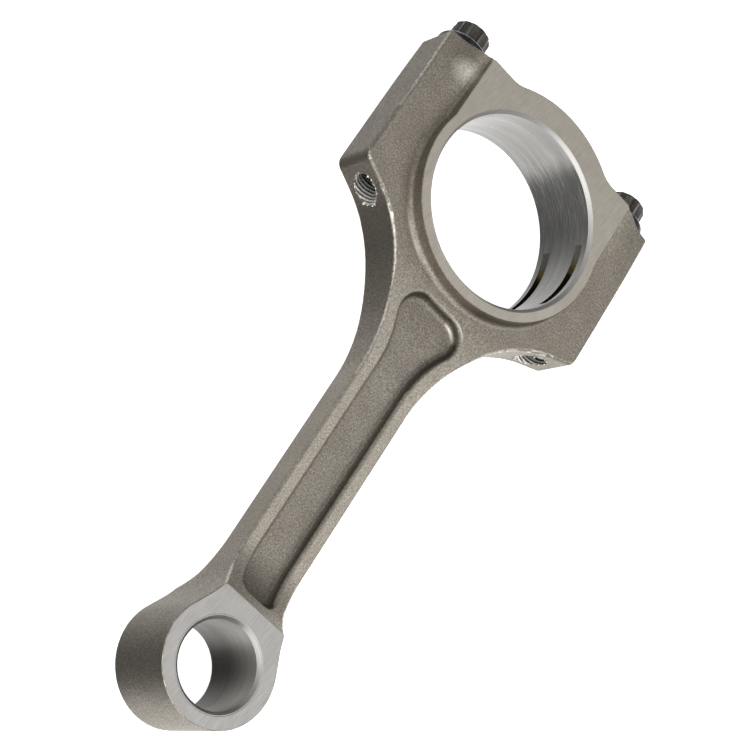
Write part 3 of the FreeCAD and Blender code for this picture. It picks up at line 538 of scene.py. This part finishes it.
def ring_stack(rings):
    """Faces that join equal rings of points in order, closed by a fan at both ends."""
    count = len(rings[0])
    verts = [point for ring in rings for point in ring]
    faces = []
    for level in range(len(rings) - 1):
        low = level * count
        for k in range(count):
            after = (k + 1) % count
            faces.append((low + k, low + after, low + count + after, low + count + k))
    for level, flip in ((0, True), (len(rings) - 1, False)):
        centre = [sum(p[axis] for p in rings[level]) / count for axis in range(3)]
        verts.append(tuple(centre))
        hub = len(verts) - 1
        low = level * count
        for k in range(count):
            pair = (low + k, low + (k + 1) % count)
            faces.append((*(reversed(pair) if flip else pair), hub))
    return verts, faces


# The cap bolts along X, from the tip inside the rod to the head's top, and how many sides a round has.
ROUND_STEPS = 96
HEAD_FLATS = 9.3
HEAD_POINTS = 10.8
HEAD_TOP = 36.0
FLANGE_RADIUS = 7.2
FLANGE_TOP = 30.1
FLANGE_ROUND = 0.4
BOLT_TIP = -14.5
TIP_BEVEL = 0.8
THREAD_END = 9.5
SHANK = 3.97
STEPS_PER_PITCH = 14


def thread_radius(x, turn):
    """The bolt's thread at a place along it and round it."""
    phase = (x / PITCH - turn / math.tau) % 1.0
    off_root = abs(phase - 0.5) * PITCH
    return min(THREAD_CREST, THREAD_ROOT + max(0.0, off_root - ROOT_FLAT) / FLANK)


def star_radius(turn):
    """A twelve-point head: two hexagons a twelfth of a turn apart, with their points blunted."""
    sixth = math.pi / 3
    reach = max(
        HEAD_FLATS / 2 / math.cos((turn + shift) % sixth - sixth / 2)
        for shift in (0.0, sixth / 2)
    )
    return min(reach, HEAD_POINTS / 2)


def bolt_rings(centre_y):
    """Rings of points from the bolt's tip to the dish in its head."""
    def ring(x, radius_at):
        points = []
        for k in range(ROUND_STEPS):
            turn = math.tau * k / ROUND_STEPS
            radius = radius_at(turn)
            points.append((x, centre_y + radius * math.cos(turn), radius * math.sin(turn)))
        return points

    def threaded(x, turn):
        cut = thread_radius(x, turn)
        run_out = min(1.0, max(0.0, (x - THREAD_END) / PITCH))
        return min(THREAD_CREST - max(0.0, TIP_BEVEL - (x - BOLT_TIP)), cut + (SHANK - cut) * run_out)

    rings = []
    x = BOLT_TIP
    while x < THREAD_END + PITCH:
        rings.append(ring(x, lambda turn: threaded(x, turn)))
        x += PITCH / STEPS_PER_PITCH
    plain = [
        (THREAD_END + PITCH + 0.2, SHANK), (SEAT - 0.5, SHANK),
        (SEAT - 0.15, SHANK + 0.05), (SEAT, SHANK + 0.2),
        (SEAT, FLANGE_RADIUS - FLANGE_ROUND), (SEAT + 0.07, FLANGE_RADIUS - 0.07),
        (SEAT + FLANGE_ROUND, FLANGE_RADIUS), (FLANGE_TOP - FLANGE_ROUND, FLANGE_RADIUS),
        (FLANGE_TOP - 0.12, FLANGE_RADIUS - 0.12), (FLANGE_TOP, FLANGE_RADIUS - FLANGE_ROUND),
        (FLANGE_TOP + 0.18, 6.2),
    ]
    rings += [ring(x, lambda turn: r) for x, r in plain]
    head = [
        (FLANGE_TOP + 0.3, 1.07), (FLANGE_TOP + 0.42, 1.02), (FLANGE_TOP + 0.7, 1.0),
        (HEAD_TOP - 1.0, 1.0), (HEAD_TOP - 0.62, 0.995),
    ]
    rings += [ring(x, lambda turn: star_radius(turn) * share) for x, share in head]
    crown = [(HEAD_TOP - 0.36, 5.18), (HEAD_TOP - 0.16, 4.98), (HEAD_TOP - 0.04, 4.70), (HEAD_TOP, 4.4)]
    rings += [ring(x, lambda turn: min(star_radius(turn), r)) for x, r in crown]
    floor = HEAD_TOP - 0.8
    dish = [(HEAD_TOP, 3.3), (HEAD_TOP - 0.1, 3.1), (floor + 0.1, 2.5), (floor, 2.2), (floor, 0.6)]
    rings += [ring(x, lambda turn: r) for x, r in dish]
    return rings


def bolt_surface(at):
    """Which finish a face of a bolt has: 0 the shank and flange, 1 the flange's edge with a painted
    highlight, 2 the head.
    """
    if at.x > FLANGE_TOP + 0.1:
        return 2
    return 1 if FLANGE_TOP - FLANGE_ROUND < at.x < FLANGE_TOP - 0.02 else 0


def add_bolt(side_name, side, kinds):
    """A bolt with its thread, shank, flange and twelve-point head, in place of the plain CAD bolt."""
    verts, faces = ring_stack(bolt_rings(side * BOLT_OFFSET))
    name = f"cap_bolt_{side_name}_turned"
    piece = new_piece(name, verts, faces, f"bolt_{side_name}", kinds, 25, bolt_surface)
    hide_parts(f"cap_bolt_{side_name}")
    plain_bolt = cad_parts[f"cap_bolt_{side_name}"].data
    plain_bolt.materials.clear()
    plain_bolt.materials.append(kinds[0])


def underside(side):
    """A shoulder's sloping underside on the bolt axis: a point on it, its downward line and its normal."""
    slope = math.radians(UNDERSIDE_SLOPE)
    point = Vector((UNDERSIDE_X, BOLT_OFFSET * side, 0.0))
    down_slope = Vector((math.cos(slope), math.sin(slope) * side, 0.0))
    outward = Vector((-math.sin(slope), math.cos(slope) * side, 0.0))
    return point, down_slope, outward


# The ridge in a tapped hole: where it starts and ends, and how far its root is sunk into the wall.
RIDGE_START = -26.0
RIDGE_END = -1.5
RIDGE_SUNK = 0.03
STEPS_PER_TURN = 64


def add_tapped_thread(side_name, side, material):
    """The helical ridge in a rod hole, cut off flush where the hole comes out of the shoulder."""
    wall = HOLE_RADIUS + RIDGE_SUNK
    foot = RIDGE_FLAT + (wall - RIDGE_CREST) * FLANK
    profile = [(-foot, wall), (-RIDGE_FLAT, RIDGE_CREST), (RIDGE_FLAT, RIDGE_CREST), (foot, wall)]
    rings = []
    for k in range(int((RIDGE_END - RIDGE_START) / PITCH * STEPS_PER_TURN) + 1):
        x = RIDGE_START + PITCH * k / STEPS_PER_TURN
        turn = math.tau * (x / PITCH - 0.5)
        rings.append([
            (x + off, side * BOLT_OFFSET + radius * math.cos(turn), radius * math.sin(turn))
            for off, radius in profile
        ])
    verts, faces = ring_stack(rings)
    shape = bmesh.new()
    corners = [shape.verts.new(v) for v in verts]
    for face in faces:
        shape.faces.new([corners[i] for i in face])
    point, _, outward = underside(side)
    flush = point - outward * 0.02
    geometry = [*shape.verts, *shape.edges, *shape.faces]
    bmesh.ops.bisect_plane(shape, geom=geometry, plane_co=flush, plane_no=outward, clear_outer=True)
    bmesh.ops.holes_fill(shape, edges=[e for e in shape.edges if e.is_boundary], sides=0)
    bmesh.ops.recalc_face_normals(shape, faces=shape.faces)
    shape.verts.index_update()
    cut_verts = [tuple(v.co) for v in shape.verts]
    cut_faces = [tuple(v.index for v in f.verts) for f in shape.faces]
    shape.free()
    new_piece(f"rod_thread_{side_name}", cut_verts, cut_faces, "rod", [material], 40)


# The torn bead's thickness between its tears, and what a tear adds at most.
BURR_THIN = 0.04
BURR_THICK = 0.34


def add_burr(side_name, side, material):
    """The torn bead round the rim where a tapped hole comes out of the shoulder's sloping underside."""
    steps = 120
    sides = 8
    centre, down_slope, outward = underside(side)
    long_reach = HOLE_RADIUS / math.sin(math.radians(UNDERSIDE_SLOPE))
    verts = []
    for k in range(steps):
        turn = math.tau * k / steps
        rim = centre + down_slope * long_reach * math.cos(turn) + Vector((0, 0, HOLE_RADIUS * math.sin(turn)))
        away = (rim - centre).normalized()
        ragged = math.sin(5 * turn + 0.7) * math.sin(11 * turn + 2.1) + 0.6 * math.sin(23 * turn)
        thick = BURR_THIN + BURR_THICK * max(0.0, ragged) ** 1.5
        for n in range(sides):
            spin = math.tau * n / sides
            verts.append(tuple(rim + (away * math.cos(spin) + outward * math.sin(spin)) * thick))
    faces = []
    for k in range(steps):
        for n in range(sides):
            ahead, beside = (k + 1) % steps, (n + 1) % sides
            faces.append((k * sides + n, ahead * sides + n, ahead * sides + beside, k * sides + beside))
    if side > 0:
        faces = [tuple(reversed(face)) for face in faces]
    new_piece(f"rod_rim_{side_name}", verts, faces, "rod", [material], 60)


# ---------------------------------------------------------------- studio


def add_camera():
    """The camera, at the photograph's viewing angle."""
    data = bpy.data.cameras.new("view")
    data.lens = CAMERA_LENS
    data.sensor_width = 36.0
    data.clip_start = 0.01
    data.clip_end = 20.0
    camera = bpy.data.objects.new("view", data)
    look = (CAMERA_AIM - CAMERA_PLACE).to_track_quat("-Z", "Y")
    camera.rotation_mode = "QUATERNION"
    camera.rotation_quaternion = look @ Quaternion((0, 0, 1), math.radians(CAMERA_ROLL))
    camera.location = CAMERA_PLACE
    bpy.context.collection.objects.link(camera)
    bpy.context.scene.camera = camera


def stage_piece(name, verts, faces, material):
    """A piece of the studio, seen by the camera but kept out of the part's reflections."""
    mesh = bpy.data.meshes.new(name)
    mesh.from_pydata(verts, [], faces)
    mesh.materials.append(material)
    piece = bpy.data.objects.new(name, mesh)
    piece.visible_glossy = False
    piece.visible_diffuse = False
    bpy.context.collection.objects.link(piece)
    return piece


# The floor sheet and the wall round it, in metres, and how much the white glows.
FLOOR_REACH = 3.0
FLOOR_GLOW = 0.9
WALL_RADIUS = 2.8
WALL_HEIGHT = 3.0
WALL_PANELS = 48


def add_floor():
    """A plain white sheet under the part, and a white wall far round it that casts no shadow."""
    shade = Shade("floor_white", roughness=0.95)
    clouds = shade.noise(shade.place((0.01, 0.01, 0.01)), 1.0)
    colour = shade.ramp(clouds, (0.3, (0.93, 0.93, 0.93)), (0.7, (0.95, 0.95, 0.95)))
    shade.shader.inputs["Emission Color"].default_value = (1, 1, 1, 1)
    shade.shader.inputs["Emission Strength"].default_value = FLOOR_GLOW
    white = shade.done(colour)
    just_under = cad_box[0][2] - 0.02 * MM
    quarters = ((-1, -1), (1, -1), (1, 1), (-1, 1))
    corners = [(x * FLOOR_REACH, y * FLOOR_REACH, just_under) for x, y in quarters]
    stage_piece("floor", corners, [(0, 1, 2, 3)], white)

    rims = []
    panels = []
    for height in (just_under, WALL_HEIGHT):
        for k in range(WALL_PANELS):
            turn = math.tau * k / WALL_PANELS
            rims.append((WALL_RADIUS * math.cos(turn), WALL_RADIUS * math.sin(turn), height))
    for k in range(WALL_PANELS):
        after = (k + 1) % WALL_PANELS
        panels.append((k, WALL_PANELS + k, WALL_PANELS + after, after))
    wall = stage_piece("wall", rims, panels, white)
    wall.visible_shadow = False


# Light from below the horizon, in a ring: azimuth in degrees, brightness.
LOW_CARDS = (
    (-180, 1.15), (-120, 1.35), (-80, 1.5), (-40, 1.55), (-15, 1.25), (12, 0.9), (40, 0.74),
    (58, 0.6), (82, 0.22), (105, 0.07), (176, 0.07), (179.5, 1.15), (180, 1.15),
)
# Round cards above it: direction, half angle of the full part, half angle of the faded edge, brightness.
HIGH_CARDS = (
    ((0.0, -0.50, 0.87), 5, 50, 1.3),
    ((-0.75, 0.15, 0.65), 20, 45, 1.9),
    ((0.45, 0.82, 0.37), 6, 25, 0.45),
    ((-0.25, 0.75, 0.60), 8, 30, 0.9),
)
# The brightness between the cards overhead, and the heights that the ring gives way to them between.
HIGH_BASE = 0.17
HORIZON = (-0.02, 0.10)


def add_world():
    """A studio of soft cards: four above the part and a ring of light low down."""
    world = bpy.data.worlds.new("studio")
    bpy.context.scene.world = world
    world.use_nodes = True
    tree = world.node_tree

    def add(kind, settings, *values):
        """A node with its sockets fed in order; gives back its first output."""
        node = tree.nodes.new(kind)
        for key, value in settings.items():
            setattr(node, key, value)
        for socket, value in zip(node.inputs, values):
            if isinstance(value, bpy.types.NodeSocket):
                tree.links.new(value, socket)
            else:
                socket.default_value = value
        return node.outputs[0]

    soft = {"interpolation_type": "SMOOTHSTEP"}
    way = tree.nodes.new("ShaderNodeTexCoord").outputs["Generated"]
    parts = add("ShaderNodeSeparateXYZ", {}, way).node.outputs
    azimuth = add("ShaderNodeMath", {"operation": "ARCTAN2"}, parts[1], parts[0])
    share = add("ShaderNodeMapRange", {}, azimuth, -math.pi, math.pi, 0.0, 1.0)
    ring = tree.nodes.new("ShaderNodeFloatCurve")
    curve = ring.mapping.curves[0]
    ring.mapping.extend = "HORIZONTAL"
    for at, grey in LOW_CARDS:
        curve.points.new((at + 180) / 360, grey)
    for point in curve.points:
        point.handle_type = "VECTOR"
    # A new curve comes with points at (0, 0) and (1, 1), which aren't wanted.
    for corner in (1.0, 0.0):
        curve.points.remove(next(p for p in curve.points if tuple(p.location) == (corner, corner)))
    ring.mapping.update()
    tree.links.new(share, ring.inputs["Value"])
    above = HIGH_BASE
    for place, inner, outer, strength in HIGH_CARDS:
        aim = Vector(place).normalized()
        facing = add("ShaderNodeVectorMath", {"operation": "DOT_PRODUCT"}, way, aim).node.outputs["Value"]
        edge, full = math.cos(math.radians(outer)), math.cos(math.radians(inner))
        card = add("ShaderNodeMapRange", soft, facing, edge, full, 0.0, strength)
        above = add("ShaderNodeMath", {"operation": "ADD"}, card, above)
    up = add("ShaderNodeMapRange", soft, parts[2], *HORIZON, 0.0, 1.0)
    mix = tree.nodes.new("ShaderNodeMix")
    tree.links.new(up, mix.inputs[0])
    tree.links.new(ring.outputs[0], mix.inputs[2])
    tree.links.new(above, mix.inputs[3])
    background = tree.nodes["Background"]
    tree.links.new(mix.outputs[0], background.inputs["Color"])


# ---------------------------------------------------------------- the scene

paint("rod_body", ROD_KINDS, rod_surface)
paint("bearing_cap", ROD_KINDS, rod_surface)
paint("small_end_bush", BUSH_KINDS, bush_surface)
black = phosphated_steel("bolt_flange", ((0.018, 0.019, 0.022), (0.045, 0.046, 0.052)), 0.34)
# The flange's top edge: a painted highlight.
painted_highlight = phosphated_steel("bolt_edge", ((0.30, 0.30, 0.31), (0.62, 0.62, 0.64)), 0.3)
head = phosphated_steel("bolt_head", ((0.035, 0.033, 0.030), (0.16, 0.15, 0.135)), 0.3)
burr = burr_steel()
for side_name, side in (("left", 1), ("right", -1)):
    add_bolt(side_name, side, (black, painted_highlight, head))
    add_burr(side_name, side, burr)
    add_tapped_thread(side_name, side, ROD_KINDS["thread"])

add_camera()
add_floor()
add_world()
bpy.context.scene.view_settings.view_transform = "Standard"
